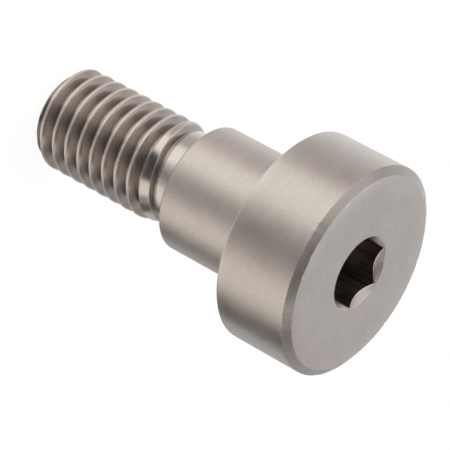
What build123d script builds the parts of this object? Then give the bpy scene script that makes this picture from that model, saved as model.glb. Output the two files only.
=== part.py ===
from build123d import *
from math import atan, cos, degrees, floor, radians, tan
import os

# A shoulder bolt with a low, wide head, made in one piece: turned head and shoulder,
# rolled thread. It stands on the flat end of its thread with the head on top. The
# origin is the centre of that end, the bolt's axis is Z, lengths are in millimetres.

# Head
head_diameter = 20.0
head_height = 7.7
face_chamfer_in = 0.7  # front chamfer, measured across the face
face_chamfer_down = 0.5  # front chamfer, measured down the side
head_back_edge = 0.15  # small broken edge at the back of the head

# Hexagon socket in the head's face
socket_across_flats = 6.0
socket_depth = 5.0  # from the face to the end of the flats
socket_turn = 28.0  # degrees from +X to a corner
point_angle = 120.0  # included angle of the drilled point at the bottom
point_share = 0.96  # width of the drilled point, as a share of the width across flats
mouth_margin = 0.12  # ring of countersink left outside the corners
mouth_angle = 82.0  # included angle of the countersink

# Ground shoulder
shoulder_diameter = 12.0
shoulder_length = 10.2
shoulder_edge = 0.2  # chamfer at its free end
shoulder_fillet = 0.25  # radius where it meets the head

# Thread, M10 x 1.5, right-handed
thread_diameter = 9.85  # over the crests
thread_pitch = 1.5
thread_length = 16.5  # from the shoulder's end to the tip, neck included
tip_chamfer = 0.9
groove_angle = 60.0  # included angle of the groove
crest_share = 0.17  # flat of the crest, as a share of the pitch
root_share = 0.16  # flat of the root, as a share of the pitch

# Neck between shoulder and thread, left as thick as the blank was before rolling
blank_share = 0.53  # how far the blank lies below the crests, in thread depths
neck_fillet = 0.3  # radius where the neck meets the shoulder's end
crest_start = 2.65  # from the shoulder's end to where the crests begin to rise
crest_rise = 1.15  # length in which the crests reach their full height
groove_end = 2.2  # the groove keeps its full depth up to this far from the shoulder
runout_share = 0.35  # part of a turn in which the groove then climbs out of the neck

# Values that follow from the sizes above
head_radius = head_diameter / 2
shoulder_radius = shoulder_diameter / 2
shoulder_end = thread_length
head_back = shoulder_end + shoulder_length
head_face = head_back + head_height
crest_radius = thread_diameter / 2
groove_slope = tan(radians(groove_angle / 2))
thread_depth = thread_pitch * (1 - crest_share - root_share) / 2 / groove_slope
root_radius = crest_radius - thread_depth
neck_radius = crest_radius - blank_share * thread_depth
corner_radius = socket_across_flats / 2 / cos(radians(30))
socket_bottom = head_face - socket_depth
point_radius = point_share * socket_across_flats / 2
point_depth = point_radius / tan(radians(point_angle / 2))
mouth_radius = corner_radius + mouth_margin
mouth_inner = 0.9 * socket_across_flats / 2
mouth_depth = (mouth_radius - mouth_inner) / tan(radians(mouth_angle / 2))

# The groove's section stands at +X, half a pitch above a crest. It reaches a little
# past the crests, so that it cuts clean through them.
cut_over = 0.06 * thread_pitch
cut_radius = crest_radius + cut_over
root_half = thread_pitch * root_share / 2
top_half = thread_pitch * (1 - crest_share) / 2 + cut_over * groove_slope
section_points = [
    (root_radius, thread_pitch / 2 - root_half),
    (cut_radius, thread_pitch / 2 - top_half),
    (cut_radius, thread_pitch / 2 + top_half),
    (root_radius, thread_pitch / 2 + root_half),
]
whole_turns = floor((shoulder_end - groove_end - thread_pitch / 2) / thread_pitch)
runout_height = runout_share * thread_pitch
runout_climb = 1.2 * (neck_radius - root_radius)
runout_cone = degrees(atan(runout_climb / runout_height))

# One turn of the groove, the same for every turn
with BuildPart() as groove_turn:
    with BuildLine() as turn_path:
        Helix(
            pitch=thread_pitch,
            height=thread_pitch,
            radius=root_radius,
            center=(0, 0, thread_pitch / 2),
        )
    with BuildSketch(Plane.XZ):
        with BuildLine():
            Polyline(*section_points, close=True)
        make_face()
    sweep(path=turn_path.line, is_frenet=True)

# The last part of a turn, where the groove climbs out into the neck
with BuildPart() as groove_runout:
    with BuildLine() as runout_path:
        Helix(
            pitch=thread_pitch,
            height=runout_height,
            radius=root_radius,
            center=(0, 0, thread_pitch / 2),
            cone_angle=runout_cone,
        )
    with BuildSketch(Plane.XZ):
        with BuildLine():
            Polyline(*section_points, close=True)
        make_face()
    sweep(path=runout_path.line, is_frenet=True)

with BuildPart() as bolt:
    # Turned outline, from the tip up to the head's face
    with BuildSketch(Plane.XZ):
        with BuildLine():
            Polyline(
                (0, head_face),
                (0, 0),
                (crest_radius - tip_chamfer, 0),
                (crest_radius, tip_chamfer),
                (crest_radius, shoulder_end - crest_start - crest_rise),
                (neck_radius, shoulder_end - crest_start),
                (neck_radius, shoulder_end - neck_fillet),
            )
            CenterArc(
                center=(neck_radius + neck_fillet, shoulder_end - neck_fillet),
                radius=neck_fillet,
                start_angle=180,
                arc_size=-90,
            )
            Polyline(
                (neck_radius + neck_fillet, shoulder_end),
                (shoulder_radius - shoulder_edge, shoulder_end),
                (shoulder_radius, shoulder_end + shoulder_edge),
                (shoulder_radius, head_back - shoulder_fillet),
            )
            CenterArc(
                center=(shoulder_radius + shoulder_fillet, head_back - shoulder_fillet),
                radius=shoulder_fillet,
                start_angle=180,
                arc_size=-90,
            )
            Polyline(
                (shoulder_radius + shoulder_fillet, head_back),
                (head_radius - head_back_edge, head_back),
                (head_radius, head_back + head_back_edge),
                (head_radius, head_face - face_chamfer_down),
                (head_radius - face_chamfer_in, head_face),
                (0, head_face),
            )
        make_face()
    revolve(axis=Axis.Z)

    # Thread: one turn of the groove after another, then the part that climbs out
    for turn in range(-1, whole_turns):
        with Locations((0, 0, turn * thread_pitch)):
            add(groove_turn.part, mode=Mode.SUBTRACT, clean=False)
    with Locations((0, 0, whole_turns * thread_pitch)):
        add(groove_runout.part, mode=Mode.SUBTRACT, clean=False)

    # Hexagon socket, the drilled point below it and the countersink around its mouth
    with BuildSketch(Plane.XY.offset(head_face)):
        RegularPolygon(
            radius=socket_across_flats / 2,
            side_count=6,
            major_radius=False,
            rotation=socket_turn,
        )
    extrude(amount=-socket_depth, mode=Mode.SUBTRACT, clean=False)
    with Locations((0, 0, socket_bottom - point_depth)):
        Cone(
            bottom_radius=0,
            top_radius=point_radius,
            height=point_depth,
            align=(Align.CENTER, Align.CENTER, Align.MIN),
            mode=Mode.SUBTRACT,
        )
    with Locations((0, 0, head_face - mouth_depth)):
        Cone(
            bottom_radius=mouth_inner,
            top_radius=mouth_radius,
            height=mouth_depth,
            align=(Align.CENTER, Align.CENTER, Align.MIN),
            mode=Mode.SUBTRACT,
        )

bolt.part.label = "shoulder_bolt"

os.makedirs("parts", exist_ok=True)
export_step(bolt.part, "parts/shoulder_bolt.step")
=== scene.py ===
import math

import bmesh
import bpy
import numpy as np
from mathutils import Matrix, Vector


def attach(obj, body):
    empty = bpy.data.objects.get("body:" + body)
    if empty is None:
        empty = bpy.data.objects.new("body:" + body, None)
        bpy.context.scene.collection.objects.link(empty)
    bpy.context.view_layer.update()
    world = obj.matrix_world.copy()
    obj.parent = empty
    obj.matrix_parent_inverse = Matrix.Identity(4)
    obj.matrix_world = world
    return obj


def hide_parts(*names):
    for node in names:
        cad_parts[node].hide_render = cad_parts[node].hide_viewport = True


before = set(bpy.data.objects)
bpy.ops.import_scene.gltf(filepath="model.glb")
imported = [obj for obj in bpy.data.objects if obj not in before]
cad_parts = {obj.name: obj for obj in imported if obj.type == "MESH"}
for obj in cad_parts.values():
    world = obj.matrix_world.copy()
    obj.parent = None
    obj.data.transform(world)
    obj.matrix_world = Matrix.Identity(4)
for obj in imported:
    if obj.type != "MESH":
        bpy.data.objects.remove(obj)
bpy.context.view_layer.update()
mm = 0.001

# Everything below is in millimetres and degrees, and is turned into metres where it is made.

# The bolt's own sizes, from the tip of the thread (z = 0) up to the face of the head
boltSizes = dict(
    headRadius=10.0,
    headFace=34.4,
    headBack=26.6,
    faceChamferIn=0.77,
    faceChamferDown=0.5,
    backEdge=0.15,
    shoulderRadius=6.0,
    shoulderEnd=16.44,
    shoulderEdge=0.2,
    shoulderFillet=0.25,
    neckFillet=0.3,
    threadRadius=4.925,
    pitch=1.5,
    threadDepth=0.93,
    crestShare=0.11,        # flat of the crest, in pitches
    rootShare=0.16,         # and of the root
    tipChamfer=0.9,
    blankShare=0.495,       # depth of the neck below the crests, in thread depths
    crestStart=2.65,        # from the shoulder's end to where the crests begin to rise
    crestRise=1.15,         # and the length of that rise
    wholeTurns=9,           # the groove climbs out into the neck after this turn
    runoutShare=0.35,       # and does so in this part of a turn,
    runoutOver=1.2,         # rising this many times its depth below the neck
    leanFrom=8.54,          # from this turn on the groove runs up more steeply,
    leanTo=8.85,            # until here,
    leanSlope=1.3,          # by so much in a turn
    tipLean=0.07,           # the flanks towards the tip stand a little steeper
    socketFlats=3.0,        # half the width across flats
    socketDepth=5.0,
    socketTurn=28.0,        # from +X to a corner
    pointRadius=2.88,       # drilled point below the socket
    pointSlope=60.0,        # from its axis to its side
    mouthMargin=0.08,       # ring of countersink outside the socket's corners
    mouthSlope=41.0,        # from the axis to the countersink's side

    # How finely the surface is divided, how round and how worn its edges are, and the painted shade and
    # highlights on some of them
    columns=240,            # round the axis, a multiple of six so that the socket's corners fall on one
    faceStep=0.8,           # rings on flat and cylindrical stretches are no further apart
    support=0.02,           # rings beside a rounded edge, which keep the flats beside it flat
    joinBelow=0.8,          # the thread's own rows end this far below the shoulder's end
    edgeRound=0.05,
    softRound=0.14,         # the back of the head and the shoulder's end are rounder
    tipRound=0.08,
    crestEndRound=0.3,      # where the crests begin and end their rise from the neck
    crestRound=0.03,
    crestFade=0.1,          # which fades where a crest stands less than this above its root
    crestSink=0.1,          # a crest that lies deeper than this isn't burnished and gets no painted highlight
    rootRound=0.15,
    lipRound=0.03,          # both edges of the countersink
    crestWear=0.012,        # how far the crests wander in height
    edgeWander=0.006,       # and the edges of the face chamfer
    nickCount=22,           # small knocks in each of these two edges
    nickDepth=0.07,
    nickReach=0.25,         # the knocks end this far from the edge
    faceWear=0.12,          # width of the wear on the face
    sideWear=0.1,           # and on the side,
    wearLimit=0.2,          # within this distance of them
    backEdgeHighlight=0.7,          # strength of the painted highlight on the edge at the back of the head
    gleamWidth=0.1,         # and over what width
    chamferFade=0.03,       # the chamfer's painted shade fades in over this width
    weldWithin=0.0001,      # vertices closer than this are one
    sharpAngle=32.0,        # edges that turn by more are shaded sharp
    seed=7,
)


# Sizes that follow from the others
def withDerived(sizes):
    crest = sizes["threadRadius"]
    socketCorner = sizes["socketFlats"] / math.cos(math.radians(30))
    return dict(
        sizes,
        rootRadius=crest - sizes["threadDepth"],
        neckRadius=crest - sizes["blankShare"] * sizes["threadDepth"],
        endRadius=crest - sizes["tipChamfer"],
        rimRadius=sizes["headRadius"] - sizes["faceChamferIn"],
        mouthRadius=socketCorner + sizes["mouthMargin"],
        socketFloor=sizes["headFace"] - sizes["socketDepth"],
    )


# A polyline with each inner corner replaced by an arc that touches both of its sides
def roundedLine(points, radii, steps=4):
    points = [np.array(p, float) for p in points]
    line = [points[0]]
    for before, corner, after, radius in zip(points, points[1:], points[2:], radii):
        inward = (before - corner) / np.linalg.norm(before - corner)
        outward = (after - corner) / np.linalg.norm(after - corner)
        half = math.acos(np.clip(inward @ outward, -1, 1)) / 2
        if radius <= 0 or half > math.pi / 2 - 0.01:
            line.append(corner)
            continue
        reach = radius / math.tan(half)
        middle = (inward + outward) / np.linalg.norm(inward + outward)
        centre = corner + middle * radius / math.sin(half)
        start = corner + inward * reach - centre
        end = corner + outward * reach - centre
        swing = math.pi - 2 * half
        for share in np.linspace(0, 1, steps):
            mix = math.sin((1 - share) * swing) * start + math.sin(share * swing) * end
            line.append(centre + mix / math.sin(swing))
    line.append(points[-1])
    return np.array(line)


# The same line with no stretch longer than step, and with a point at the support's distance from each
# end of a long one
def divided(line, step, support):
    out = [line[:1]]
    for a, b in zip(line, line[1:]):
        length = np.linalg.norm(b - a)
        parts = max(1, math.ceil(length / step))
        shares = np.arange(1, parts + 1) / parts
        if length > 6 * support:
            shares = np.union1d(shares, [support / length, 1 - support / length])
        out.append(a + (b - a) * shares[:, None])
    return np.concatenate(out)


# Smooth noise round the axis, of about unit size: a sum of cosines with lowest to highest waves in a turn
# and seeded sizes and phases. The sizes fall off as the number of waves to the power of slope.
def wander(angle, seed, lowest, highest, slope=0.5):
    random = np.random.default_rng(seed)
    total = np.zeros_like(angle)
    power = 0.0
    for wave in range(lowest, highest + 1):
        size = random.normal() * (lowest / wave) ** slope
        total += size * np.cos(wave * angle + random.uniform(0, 2 * math.pi))
        power += size ** 2 / 2
    return total / math.sqrt(power)


# Falls off on both sides of 0 as a bell curve, exp(-(distance / width)^2)
def bell(distance, width):
    return np.exp(-(distance / width) ** 2)


# Small knocks at seeded columns of an edge, as depths
def knocks(columns, seed, count, depth):
    random = np.random.default_rng(seed)
    found = np.zeros(columns)
    found[random.integers(0, columns, count)] = depth * random.uniform(0.3, 1.0, count)
    return found


# Radius of the groove against the distance from the middle of a crest, out to the middle of the root
def threadSection(sizes):
    halfPitch = sizes["pitch"] / 2
    crestHalf = sizes["crestShare"] * halfPitch
    rootHalf = sizes["rootShare"] * halfPitch
    corners = [
        (-crestHalf, sizes["threadRadius"]),
        (crestHalf, sizes["threadRadius"]),
        (halfPitch - rootHalf, sizes["rootRadius"]),
        (halfPitch + rootHalf, sizes["rootRadius"]),
    ]
    line = roundedLine(corners, [sizes["crestRound"], sizes["rootRound"]])
    crestMiddle = [[0.0, sizes["threadRadius"]]]
    rootMiddle = [[halfPitch, sizes["rootRadius"]]]
    return np.concatenate([crestMiddle, line[1:-1], rootMiddle])


# Rows of one turn of the thread, as places across it, with more of them on the flank that faces the head.
# A row's pull says how far it follows the crest's edge where that moves, from 1 at the edge to 0, and is
# negative on the tip's side. The last two results are the edge's place and the furthest it may move.
def threadRows(section, sizes):
    halfPitch = sizes["pitch"] / 2
    support = sizes["support"]
    edge = sizes["crestShare"] * halfPitch + sizes["crestRound"]
    crest = [p for p in section[1:, 0] if p < edge]
    rootArc = [p for p in section[1:, 0] if edge <= p < halfPitch]
    crestEdge = crest[-1]
    last = rootArc[0] - support
    top = [(p, 1.0) for p in crest] + [(crestEdge + support, 1.0)]
    between = [(crestEdge + 3 * support, 0.9), ((crestEdge + last) / 2, 0.4)]
    foot = [(last, 0.0)] + [(p, 0.0) for p in rootArc]
    rows = [(-p, -pull, p < edge) for p, pull in reversed(top + foot)]
    rows += [(0.0, 0.0, True)]
    rows += [(p, pull, p < edge) for p, pull in top + between + foot]
    rows += [(halfPitch, 0.0, False)]
    across, pull, onCrest = zip(*rows)
    return np.array(across), np.array(pull), np.array(onCrest), crestEdge, (last - crestEdge) / 2


# What the crests and the neck were turned to before rolling, as height and radius
def threadOutline(sizes):
    crestEnd = sizes["shoulderEnd"] - sizes["crestStart"]
    corners = [
        (0, sizes["endRadius"]),
        (sizes["tipChamfer"], sizes["threadRadius"]),
        (crestEnd - sizes["crestRise"], sizes["threadRadius"]),
        (crestEnd, sizes["neckRadius"]),
        (sizes["shoulderEnd"], sizes["neckRadius"]),
    ]
    radii = [sizes["tipRound"], sizes["crestEndRound"], sizes["crestEndRound"]]
    return roundedLine(corners, radii, steps=6)


# Faces between the thread's rows. Past its last column a row goes on as the same row one turn up.
def threadFaces(rows, perTurn, columns):
    i, j = np.meshgrid(np.arange(rows - perTurn - 1), np.arange(columns), indexing="ij")
    beside = (i + (j + 1) // columns * perTurn) * columns + (j + 1) % columns
    corners = [i * columns + j, beside, beside + columns, (i + 1) * columns + j]
    return np.stack(corners, -1).reshape(-1, 4)


# Faces between closed rings of equal columns, one after another
def ringFaces(rows, columns):
    i, j = np.meshgrid(np.arange(rows - 1), np.arange(columns), indexing="ij")
    right = (j + 1) % columns
    corners = [i * columns + j, i * columns + right, (i + 1) * columns + right, (i + 1) * columns + j]
    return np.stack(corners, -1).reshape(-1, 4)


# Each grid below gives the radius and height of every row at every column, its faces, and its marks.

# Thread and neck. The rows follow the helix, z = pitch (turn + a / 360) + across, and the radius is the
# least of the groove's section, the turned outline and the worn crest. The rows are cut off at the flat
# end and at a ring a little below the shoulder's end.
def threadGrid(sizes, angle):
    pitch = sizes["pitch"]
    crestRadius = sizes["threadRadius"]
    rootRadius = sizes["rootRadius"]
    neckRadius = sizes["neckRadius"]
    top = sizes["shoulderEnd"] - sizes["joinBelow"]
    section = threadSection(sizes)
    outline = threadOutline(sizes)
    rowAcross, rowPull, rowCrest, crestEdge, mostShift = threadRows(section, sizes)
    perTurn = len(rowAcross)
    turns = np.arange(-3, math.ceil(top / pitch) + 2)        # some more than needed at both ends
    turn = np.repeat(turns, perTurn)[:, None]
    across = np.tile(rowAcross, len(turns))[:, None]
    pull = np.tile(rowPull, len(turns))[:, None]
    onCrest = np.tile(rowCrest, len(turns))[:, None]
    along = turn * 2 * math.pi + angle[None, :]              # angle counted along the crest
    progress = along / (2 * math.pi) - (across < 0)          # turns counted along the groove

    # How far the groove has climbed out, how deep the crests are worn and how far the flanks lean
    climb = sizes["runoutOver"] * (neckRadius - rootRadius) / sizes["runoutShare"]
    raised = climb * np.clip(progress - sizes["wholeTurns"], 0, None)
    wear = sizes["crestWear"] * (1 + np.tanh(wander(along, sizes["seed"] + 1, lowest=3, highest=40)))
    worn = np.maximum(crestRadius - wear, neckRadius)
    lean = sizes["leanSlope"] * (np.clip(progress, sizes["leanFrom"], sizes["leanTo"]) - sizes["leanFrom"])
    flank = np.clip((np.abs(across) - crestEdge) / (2 * mostShift), 0, 1) * (across < 0)
    lean = lean + sizes["tipLean"] * flank

    # The edge rows move to where the groove's flank meets the turned outline. That depends on their
    # height, so it is worked out a few times over.
    shift = 0.0
    for _ in range(3):
        height = pitch * along / (2 * math.pi) + across + lean + pull * shift
        outer = np.minimum(np.interp(height, outline[:, 0], outline[:, 1]), worn)
        edge = np.interp(raised - outer, -section[:, 1], section[:, 0])
        shift = np.clip(edge - crestEdge, 0, mostShift)
    groove = np.interp(np.abs(across + pull * shift), section[:, 0], section[:, 1]) + raised
    fade = np.clip((outer - raised - rootRadius) / sizes["crestFade"], 0, 1)
    rounding = crestRadius - np.interp(np.abs(across), section[:, 0], section[:, 1])
    radius = np.where(onCrest, outer - rounding * fade, np.minimum(groove, outer))

    # Rows past either end are laid flat on it
    low = height <= 0
    high = height >= top
    radius = np.where(high, neckRadius, radius)
    radius = np.where(low, sizes["endRadius"], radius)
    height = np.clip(height, 0, top)
    # How deep each point lies in the groove, which the steel darkens as painted shade
    sunk = np.clip((outer - radius) / sizes["threadDepth"], 0, 1)
    # Crests that are burnished, which the steel also paints lighter as a highlight
    burnishAndHighlight = onCrest * (outer > crestRadius - sizes["crestSink"])
    corners = threadFaces(len(across), perTurn, len(angle))
    outside = (low | high).reshape(-1)
    corners = corners[~outside[corners].all(axis=1)]
    print("thread rows per turn", perTurn, "faces", len(corners))
    return radius, height, corners, dict(grooveDepth=sunk, onCrest=burnishAndHighlight)


# Wear on both edges of the face chamfer: they wander a little and have knocks, which fall off from the
# edge as a bell curve
def wornChamfer(radius, height, sizes, angle):
    seed = sizes["seed"]
    nearFace = bell(radius - sizes["rimRadius"], sizes["faceWear"])
    nearFace = nearFace * (height > sizes["headFace"] - sizes["wearLimit"])
    uneven = sizes["edgeWander"] * wander(angle, seed + 2, lowest=20, highest=90, slope=0.2)
    nicks = knocks(len(angle), seed + 4, sizes["nickCount"], sizes["nickDepth"])
    radius = radius + nearFace * uneven
    height = height - nearFace * nicks
    nearSide = bell(height - sizes["headFace"] + sizes["faceChamferDown"], sizes["sideWear"])
    nearSide = nearSide * (radius > sizes["headRadius"] - sizes["wearLimit"])
    uneven = sizes["edgeWander"] * wander(angle, seed + 3, lowest=15, highest=80, slope=0.2)
    nicks = knocks(len(angle), seed + 5, sizes["nickCount"], sizes["nickDepth"])
    return radius - nearSide * nicks, height + nearSide * uneven


# Neck, shoulder and head, turned from an outline that runs up to the socket's mouth
def turnedGrid(sizes, angle):
    neck = sizes["neckRadius"]
    shoulder = sizes["shoulderRadius"]
    end = sizes["shoulderEnd"]
    side = sizes["headRadius"]
    back = sizes["headBack"]
    face = sizes["headFace"]
    rim = sizes["rimRadius"]
    chamferFoot = face - sizes["faceChamferDown"]
    sharp = sizes["edgeRound"]
    soft = sizes["softRound"]
    outline = [
        # radius, height, rounding
        (neck, end - sizes["joinBelow"], 0),
        (neck, end, sizes["neckFillet"]),
        (shoulder - sizes["shoulderEdge"], end, sharp),
        (shoulder, end + sizes["shoulderEdge"], soft),
        (shoulder, back, sizes["shoulderFillet"]),
        (side - sizes["backEdge"], back, sharp),
        (side, back + sizes["backEdge"], soft),
        (side, chamferFoot - sizes["nickReach"], 0),
        (side, chamferFoot, sharp),
        (rim, face, sharp),
        (rim - sizes["nickReach"], face, 0),
        (sizes["mouthRadius"], face, 0),
    ]
    line = roundedLine([p[:2] for p in outline], [p[2] for p in outline[1:-1]])
    line = divided(line, sizes["faceStep"], sizes["support"])
    radius = np.repeat(line[:, 0:1], len(angle), 1)
    height = np.repeat(line[:, 1:2], len(angle), 1)
    # Where the chamfer's painted shade lies
    chamfer = np.clip((height - face + sizes["faceChamferDown"]) / sizes["chamferFade"], 0, 1)
    chamfer = chamfer * np.clip((radius - rim) / sizes["chamferFade"], 0, 1)
    # Painted highlight along the edge at the back of the head
    backHighlight = sizes["backEdgeHighlight"] * bell(height - back - sizes["backEdge"] / 2, sizes["gleamWidth"])
    backHighlight = backHighlight * (radius > side - 2 * sizes["backEdge"])
    radius, height = wornChamfer(radius, height, sizes, angle)
    return radius, height, ringFaces(len(line), len(angle)), dict(onChamfer=chamfer, onEdge=backHighlight)


# Socket: countersunk mouth, six flats, a flat floor and the drilled point. A flat lies at r = flats / cos a
# from the axis, and cuts a scallop from the countersink.
def socketGrid(sizes, angle):
    mouth = sizes["mouthRadius"]
    face = sizes["headFace"]
    bottom = sizes["socketFloor"]
    point = sizes["pointRadius"]
    lip = sizes["lipRound"]
    third = (angle - math.radians(sizes["socketTurn"])) % (math.pi / 3) - math.pi / 6
    hexagon = sizes["socketFlats"] / np.cos(third)
    mouthRise = math.tan(math.radians(sizes["mouthSlope"]))
    pointRise = math.tan(math.radians(sizes["pointSlope"]))
    scallop = face - (mouth - hexagon) / mouthRise

    # Within the lip's width a row beside each edge of the countersink rounds it off
    rows = [(mouth, face), (mouth - lip / 2, face - 0.4 * lip)]
    for share in (0.3, 1.0):
        reach = lip + (mouth - hexagon - 2 * lip) * share
        rows.append((mouth - reach, face - reach / mouthRise))
    # The next row, at the scallops' edge, gets a painted highlight
    edgeRow = len(rows)
    rows.append((hexagon + lip / 3, scallop - 0.4 * lip))
    for share in (0.0, 0.02, 0.2, 0.4, 0.6, 0.8, 1.0):
        rows.append((hexagon, (scallop - lip * 5 / 3) * (1 - share) + bottom * share))
    for share in (0.0, 0.35, 0.7, 1.0):
        rows.append((point * (1 - share), bottom - point * share / pointRise))

    radius = np.array([np.broadcast_to(r, angle.shape) for r, z in rows])
    height = np.array([np.broadcast_to(z, angle.shape) for r, z in rows])
    row = np.arange(len(rows))[:, None]
    # the rows below the edge row are painted darker as shade in the socket
    marks = dict(inSocket=row > edgeRow, onEdge=row == edgeRow)
    return radius, height, ringFaces(len(rows), len(angle)), marks


# Flat end of the thread
def endGrid(sizes, angle):
    radius = np.repeat(sizes["endRadius"] * np.linspace(0, 1, 5)[:, None], len(angle), 1)
    return radius, 0 * radius, ringFaces(len(radius), len(angle)), dict()


# The marks are attributes that the steel reads, each from 0 to 1
markNames = ("grooveDepth", "onCrest", "inSocket", "onChamfer", "onEdge")


# The bolt's whole skin. A grid's vertex stands at its column's angle a, at (r cos a, r sin a, z). Grids
# that meet share a ring of places, where they are welded.
def makeBoltMesh(sizes):
    sizes = withDerived(sizes)
    columns = sizes["columns"]
    angle = math.radians(sizes["socketTurn"]) + np.arange(columns) * 2 * math.pi / columns
    grids = [
        threadGrid(sizes, angle),
        turnedGrid(sizes, angle),
        socketGrid(sizes, angle),
        endGrid(sizes, angle),
    ]
    vertices = []
    faces = []
    marks = []
    count = 0
    for radius, height, corners, values in grids:
        places = np.stack([radius * np.cos(angle), radius * np.sin(angle), height], -1)
        vertices.append(places.reshape(-1, 3))
        faces.append(count + corners)
        spread = [np.broadcast_to(values.get(name, 0.0), radius.shape) for name in markNames]
        marks.append(np.stack(spread, -1).reshape(-1, len(markNames)))
        count += radius.size

    mesh = bpy.data.meshes.new("bolt")
    mesh.from_pydata(np.concatenate(vertices) * mm, [], np.concatenate(faces))
    for name, values in zip(markNames, np.concatenate(marks).T):
        mesh.attributes.new(name, "FLOAT", "POINT").data.foreach_set("value", np.ascontiguousarray(values))
    weld = sizes["weldWithin"] * mm
    welded = bmesh.new()
    welded.from_mesh(mesh)
    bmesh.ops.remove_doubles(welded, verts=welded.verts, dist=weld)
    bmesh.ops.dissolve_degenerate(welded, edges=welded.edges, dist=weld / 10)
    bmesh.ops.recalc_face_normals(welded, faces=welded.faces)
    openEdges = sum(1 for e in welded.edges if not e.is_manifold)
    print("bolt vertices", len(welded.verts), "faces", len(welded.faces), "open edges", openEdges)
    welded.to_mesh(mesh)
    welded.free()
    mesh.shade_smooth()
    mesh.set_sharp_from_angle(angle=math.radians(sizes["sharpAngle"]))
    return mesh


# A shader node with its settings, and inputs given as values or as another node's output
def addNode(tree, kind, inputs=None, **settings):
    node = tree.nodes.new(kind)
    for name, value in settings.items():
        setattr(node, name, value)
    for name, value in (inputs or {}).items():
        if isinstance(value, bpy.types.NodeSocket):
            tree.links.new(value, node.inputs[name])
        else:
            node.inputs[name].default_value = value
    return node


def maths(tree, operation, *values):
    return addNode(tree, "ShaderNodeMath", dict(enumerate(values)), operation=operation).outputs[0]


def mixValues(tree, share, first, second):
    return addNode(tree, "ShaderNodeMix", {0: share, 2: first, 3: second}, data_type="FLOAT").outputs[0]


def blendColours(tree, share, first, second):
    first, second = (c if isinstance(c, bpy.types.NodeSocket) else (*c, 1.0) for c in (first, second))
    return addNode(tree, "ShaderNodeMix", {0: share, 6: first, 7: second}, data_type="RGBA").outputs[2]


# Rises smoothly from 0 at low to 1 at high
def smoothStep(tree, value, low, high):
    limits = {"Value": value, "From Min": low, "From Max": high, "To Min": 0.0, "To Max": 1.0}
    return addNode(tree, "ShaderNodeMapRange", limits, interpolation_type="SMOOTHSTEP").outputs[0]


# Noise about 0 with the given depth. The node's own noise strays about a fifth from 0.5.
def noiseAround(tree, vector, scale, depth, detail=2.0):
    settings = {"Vector": vector, "Scale": scale, "Detail": detail, "Roughness": 0.6}
    noise = addNode(tree, "ShaderNodeTexNoise", settings).outputs[0]
    return maths(tree, "MULTIPLY", maths(tree, "SUBTRACT", noise, 0.5), 5 * depth)


# Bare steel: the head and shoulder are ground to a satin, the thread and neck are smoother
steelFinish = dict(
    colour=(0.55, 0.515, 0.475),
    faceColour=(0.545, 0.525, 0.497),
    shoulderColour=(0.595, 0.556, 0.515),
    # painted shade down the thread's groove, and darker painted shade at its root
    grooveShadeColour=(0.365, 0.328, 0.305),
    grooveFull=0.15,         # the painted shade is full at this share of the thread's depth
    deepShadeColour=(0.325, 0.29, 0.268),
    deepFrom=0.65,           # the darker painted shade sets in at this share, and is full at the root
    # painted highlight on the crests
    crestHighlightColour=(0.68, 0.635, 0.59),
    # painted shade on the face chamfer
    chamferShadeColour=(0.395, 0.367, 0.345),
    # painted shade inside the socket
    socketShadeColour=(0.30, 0.26, 0.24),
    # painted highlight on the edge at the back of the head and at the socket's scallops
    edgeHighlightColour=(1.0, 0.96, 0.92),
    satin=0.33,              # roughness of the head
    shoulderSatin=0.41,
    smooth=0.21,             # and of the rolled thread and neck
    crestSatin=0.42,
    roughnessSpread=0.03,
    cloudSize=2.4,           # soft clouds in the colour
    cloudDepth=0.04,
    speckleSize=0.14,        # fine speckle
    speckleDepth=0.09,
    ringSize=0.35,           # turning marks, as a tone
    ringDepth=0.015,
    rippleSize=0.09,         # the same marks as a fine relief
    rippleHeight=0.0003,
    domeFrom=7.2,            # outside this radius the face is tumbled a little round
    domeDrop=0.25,           # and would drop by so much at the head's side, as relief
    streakSize=0.35,         # broaching marks down the socket's flats
    streakDepth=0.5,
    streakStretch=0.06,      # how fast they change down the flats, against across
)


# Where on the bolt a point lies, in millimetres, and which of its surfaces it belongs to
def boltPlaces(tree, sizes):
    hair = 0.01              # each limit lies this far beside the plane that it stands for
    place = addNode(tree, "ShaderNodeTexCoord").outputs["Object"]
    place = addNode(tree, "ShaderNodeVectorMath", {0: place, "Scale": 1 / mm}, operation="SCALE").outputs[0]
    x, y, z = addNode(tree, "ShaderNodeSeparateXYZ", {0: place}).outputs
    squares = maths(tree, "ADD", maths(tree, "POWER", x, 2.0), maths(tree, "POWER", y, 2.0))
    where = dict(
        place=place,
        x=x,
        y=y,
        z=z,
        radius=maths(tree, "MAXIMUM", maths(tree, "SQRT", squares), 0.05),      # never 0
        belowHead=maths(tree, "LESS_THAN", z, sizes["headBack"] - hair),
        rolled=maths(tree, "LESS_THAN", z, sizes["shoulderEnd"] - hair),
        onFace=maths(tree, "GREATER_THAN", z, sizes["headFace"] - hair),
    )
    for name in markNames:
        where[name] = addNode(tree, "ShaderNodeAttribute", attribute_name=name).outputs["Fac"]
    return where


# A place for turning marks: noise there changes over size along the outline, and slowly round the axis
def turnedPlace(tree, where, size):
    along = maths(tree, "DIVIDE", maths(tree, "ADD", where["radius"], where["z"]), size)
    aroundX = maths(tree, "DIVIDE", where["x"], where["radius"])
    aroundY = maths(tree, "DIVIDE", where["y"], where["radius"])
    return addNode(tree, "ShaderNodeCombineXYZ", {0: aroundX, 1: aroundY, 2: along}).outputs[0]
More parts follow.
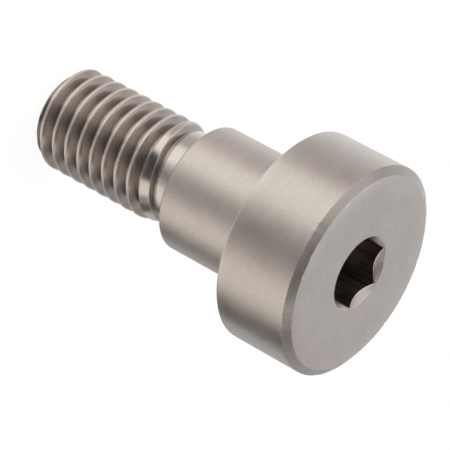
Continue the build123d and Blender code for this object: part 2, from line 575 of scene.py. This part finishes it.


# Each surface's colour laid over the one before, times a tone made of turning marks, clouds, speckle and
# the streaks in the socket. The groove, root, chamfer and socket layers are painted shade, the crest and
# edge layers painted highlights.
def steelColour(tree, where, clouds, finish):
    deep = where["grooveDepth"]
    layers = [
        (where["belowHead"], "shoulderColour"),
        (where["onFace"], "faceColour"),
        (smoothStep(tree, deep, 0.0, finish["grooveFull"]), "grooveShadeColour"),
        (smoothStep(tree, deep, finish["deepFrom"], 1.0), "deepShadeColour"),
        (where["onCrest"], "crestHighlightColour"),
        (where["inSocket"], "socketShadeColour"),
        (where["onEdge"], "edgeHighlightColour"),
        (where["onChamfer"], "chamferShadeColour"),
    ]
    colour = finish["colour"]
    for share, name in layers:
        colour = blendColours(tree, share, colour, finish[name])

    rings = noiseAround(tree, turnedPlace(tree, where, finish["ringSize"]), 1.0, finish["ringDepth"])
    speckle = noiseAround(tree, where["place"], 1 / finish["speckleSize"], finish["speckleDepth"], 3.0)
    slowZ = maths(tree, "MULTIPLY", where["z"], finish["streakStretch"])
    streaks = addNode(tree, "ShaderNodeCombineXYZ", {0: where["x"], 1: where["y"], 2: slowZ}).outputs[0]
    streak = noiseAround(tree, streaks, 1 / finish["streakSize"], finish["streakDepth"], 3.0)
    tone = maths(tree, "ADD", maths(tree, "ADD", rings, clouds), maths(tree, "ADD", speckle, 1.0))
    tone = maths(tree, "ADD", tone, maths(tree, "MULTIPLY", streak, where["inSocket"]))
    return addNode(tree, "ShaderNodeVectorMath", {0: colour, "Scale": tone}, operation="SCALE").outputs[0]


def steelRoughness(tree, where, clouds, finish):
    rough = finish["satin"]
    for share, name in (("belowHead", "shoulderSatin"), ("rolled", "smooth"), ("onCrest", "crestSatin")):
        rough = mixValues(tree, where[share], rough, finish[name])
    uneven = maths(tree, "MULTIPLY", clouds, finish["roughnessSpread"] / finish["cloudDepth"])
    return maths(tree, "ADD", rough, uneven)


# Relief in ripple heights: fine turning marks, less the square of how far a point lies outside the
# radius that the face begins to drop at
def steelRelief(tree, where, finish, sizes):
    fine = turnedPlace(tree, where, finish["rippleSize"])
    ripple = addNode(tree, "ShaderNodeTexNoise", {"Vector": fine, "Scale": 1.0, "Detail": 2.0}).outputs[0]
    outside = maths(tree, "SUBTRACT", where["radius"], finish["domeFrom"])
    outside = maths(tree, "MAXIMUM", outside, 0.0)
    width = sizes["headRadius"] - finish["domeFrom"]
    steepness = finish["domeDrop"] / width ** 2 / finish["rippleHeight"]
    dome = maths(tree, "MULTIPLY", maths(tree, "MULTIPLY", outside, outside), steepness)
    height = maths(tree, "SUBTRACT", ripple, dome)
    relief = {"Height": height, "Strength": 1.0, "Distance": finish["rippleHeight"] * mm}
    return addNode(tree, "ShaderNodeBump", relief).outputs[0]


def makeSteel(finish, sizes):
    material = bpy.data.materials.new("steel")
    material.use_nodes = True
    tree = material.node_tree
    shader = tree.nodes["Principled BSDF"]
    shader.inputs["Metallic"].default_value = 1.0
    where = boltPlaces(tree, sizes)
    clouds = noiseAround(tree, where["place"], 1 / finish["cloudSize"], finish["cloudDepth"], 3.0)
    tree.links.new(steelColour(tree, where, clouds, finish), shader.inputs["Base Color"])
    tree.links.new(steelRoughness(tree, where, clouds, finish), shader.inputs["Roughness"])
    tree.links.new(steelRelief(tree, where, finish, sizes), shader.inputs["Normal"])
    return material


# Studio: soft boxes and dark cards around the bolt, each a patch of the sky. Turn is counted from the
# front (-Y) towards +X and rise from the horizon up. Width and height are half the patch, and its
# light fades within the soft degrees on both sides of its edge. A later patch covers an earlier one.
studioBase = (0.62, 0.565, 0.56)
studioPatches = [
    # name, turn, width, rise, height, soft, light, tint
    ("back wall", -146, 30, 57, 17, 12, 1.42, (0.93, 1.02, 1.11)),
    ("left glow", -150, 14, 14, 12, 8, 0.92, (1.0, 0.99, 0.98)),
    ("back wall low", 180, 46, -34, 34, 14, 0.82, (0.97, 1.0, 1.0)),
    ("left wall low", -175, 58, -30, 40, 30, 1.06, (0.98, 0.985, 1.0)),
    ("right wall low", 150, 24, -30, 40, 12, 0.62, (1.0, 1.0, 1.02)),
    ("left dome", -95, 60, 62, 30, 16, 1.08, (1.0, 0.95, 0.90)),
    ("right dome", 88, 62, 60, 34, 16, 0.31, (1.0, 0.95, 0.90)),
    ("overhead", 0, 180, 90, 17, 5, 0.09, (1.0, 0.95, 0.93)),
    ("right glow", 96, 9, 51, 8, 5, 1.6, (1.0, 0.98, 0.96)),
    ("low glow", 139, 10, 36, 8, 6, 0.75, (1.0, 0.98, 0.97)),
    ("key box", -39, 26, -20, 48, 9, 1.28, (1.0, 0.97, 0.93)),
    ("fill box", 65, 21, -18, 44, 8, 1.06, (1.0, 0.95, 0.89)),
    ("fill card", 87, 8, -12, 8, 6, 0.35, (1.0, 0.95, 0.9)),
    ("dark card", 112, 15, -30, 44, 8, 0.15, (1.0, 0.91, 0.83)),
    ("lens side", 11, 31, 14, 24, 5, 0.07, (0.9, 1.0, 0.98)),
    ("lens side low", 16, 12, -34, 34, 8, 0.34, (1.0, 0.94, 0.91)),
]


# How much of a patch is seen in a direction: 1 inside it, fading to 0 across its soft edge
def patchShare(tree, turn, elevation, patch):
    centre, width, rise, height, soft = patch[1:6]
    away = maths(tree, "COSINE", maths(tree, "SUBTRACT", turn, math.radians(centre)))
    aside = maths(tree, "MULTIPLY", maths(tree, "ARCCOSINE", away), 180 / math.pi)
    aloft = maths(tree, "ABSOLUTE", maths(tree, "SUBTRACT", elevation, rise))
    across = smoothStep(tree, aside, width + soft, width - soft)
    upright = smoothStep(tree, aloft, height + soft, height - soft)
    return maths(tree, "MULTIPLY", across, upright)


# The sky lights the bolt, and the camera sees it as white
def makeSky(base, patches):
    world = bpy.data.worlds.new("studio")
    bpy.context.scene.world = world
    world.use_nodes = True
    tree = world.node_tree
    tree.nodes.clear()
    direction = addNode(tree, "ShaderNodeTexCoord").outputs["Generated"]
    parts = addNode(tree, "ShaderNodeSeparateXYZ", {0: direction}).outputs
    turn = maths(tree, "ARCTAN2", parts[0], maths(tree, "MULTIPLY", parts[1], -1.0))
    elevation = maths(tree, "MULTIPLY", maths(tree, "ARCSINE", parts[2]), 180 / math.pi)
    light = base
    for patch in patches:
        level, tint = patch[6:]
        share = patchShare(tree, turn, elevation, patch)
        light = blendColours(tree, share, light, tuple(level * t for t in tint))
    seen = addNode(tree, "ShaderNodeLightPath").outputs["Is Camera Ray"]
    light = blendColours(tree, seen, light, (1.0, 1.0, 1.0))
    shade = addNode(tree, "ShaderNodeBackground", {"Color": light, "Strength": 1.0})
    output = addNode(tree, "ShaderNodeOutputWorld")
    tree.links.new(shade.outputs[0], output.inputs[0])


floorSheet = dict(
    size=1600.0,
    colour=(0.82, 0.82, 0.82),
    shadowShare=0.2,         # how much of the bolt's shadow the camera sees
    white=1.15,              # brightness of what else it sees there
)


# A pale sheet that the bolt stands on. The camera sees it as white, with a share of the bolt's shadow.
def makeFloor(sheet):
    half = sheet["size"] / 2 * mm
    corners = [(-half, -half, 0), (half, -half, 0), (half, half, 0), (-half, half, 0)]
    mesh = bpy.data.meshes.new("floorSheet")
    mesh.from_pydata(corners, [], [(0, 1, 2, 3)])
    sheetObject = bpy.data.objects.new("floorSheet", mesh)
    bpy.context.scene.collection.objects.link(sheetObject)
    material = bpy.data.materials.new("paleSheet")
    material.use_nodes = True
    tree = material.node_tree
    tree.nodes.clear()
    matte = addNode(tree, "ShaderNodeBsdfDiffuse", {"Color": (*sheet["colour"], 1.0)})
    white = addNode(tree, "ShaderNodeEmission", {"Color": (1, 1, 1, 1), "Strength": sheet["white"]})
    paths = addNode(tree, "ShaderNodeLightPath").outputs
    seen = maths(tree, "MULTIPLY", paths["Is Camera Ray"], 1 - sheet["shadowShare"])
    mix = addNode(tree, "ShaderNodeMixShader", {0: seen, 1: matte.outputs[0], 2: white.outputs[0]})
    output = addNode(tree, "ShaderNodeOutputMaterial")
    tree.links.new(mix.outputs[0], output.inputs[0])
    mesh.materials.append(material)
    sheetObject.visible_glossy = False


# Camera: looks down on the head from the front and is rolled, so that the bolt lies across the picture
cameraView = dict(
    elevation=30.068,
    roll=118.70,
    distance=249.79,        # from the camera to the face of the head, along the view
    right=11.60,            # where the middle of that face lies from the middle of the picture
    down=4.178,
    lens=232.62,
    sensor=36.0,
    nearest=10.0,           # it sees nothing nearer than this
    farthest=10000.0,       # or farther off
)


def makeCamera(settings, face):
    lift = math.radians(settings["elevation"])
    roll = math.radians(settings["roll"])
    back = Vector((0, -math.cos(lift), math.sin(lift)))
    level = Vector((1, 0, 0))
    upright = back.cross(level)
    right = level * math.cos(roll) + upright * math.sin(roll)
    up = back.cross(right)
    middle = Vector((0, 0, face))
    place = middle + back * settings["distance"] - right * settings["right"] + up * settings["down"]
    data = bpy.data.cameras.new("camera")
    data.sensor_width = settings["sensor"]
    data.lens = settings["lens"]
    data.clip_start = settings["nearest"] * mm
    data.clip_end = settings["farthest"] * mm
    camera = bpy.data.objects.new("camera", data)
    turning = Matrix((right, up, back)).transposed().to_4x4()
    camera.matrix_world = Matrix.Translation(place * mm) @ turning
    bpy.context.scene.collection.objects.link(camera)
    bpy.context.scene.camera = camera


print("bolt")
boltMesh = makeBoltMesh(boltSizes)
boltMesh.materials.append(makeSteel(steelFinish, boltSizes))
bolt = bpy.data.objects.new("bolt", boltMesh)
bpy.context.scene.collection.objects.link(bolt)
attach(bolt, "root")
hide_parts("shoulder_bolt")

print("studio")
makeSky(studioBase, studioPatches)
makeFloor(floorSheet)

print("camera")
makeCamera(cameraView, boltSizes["headFace"])
bpy.context.scene.view_settings.view_transform = "Standard"
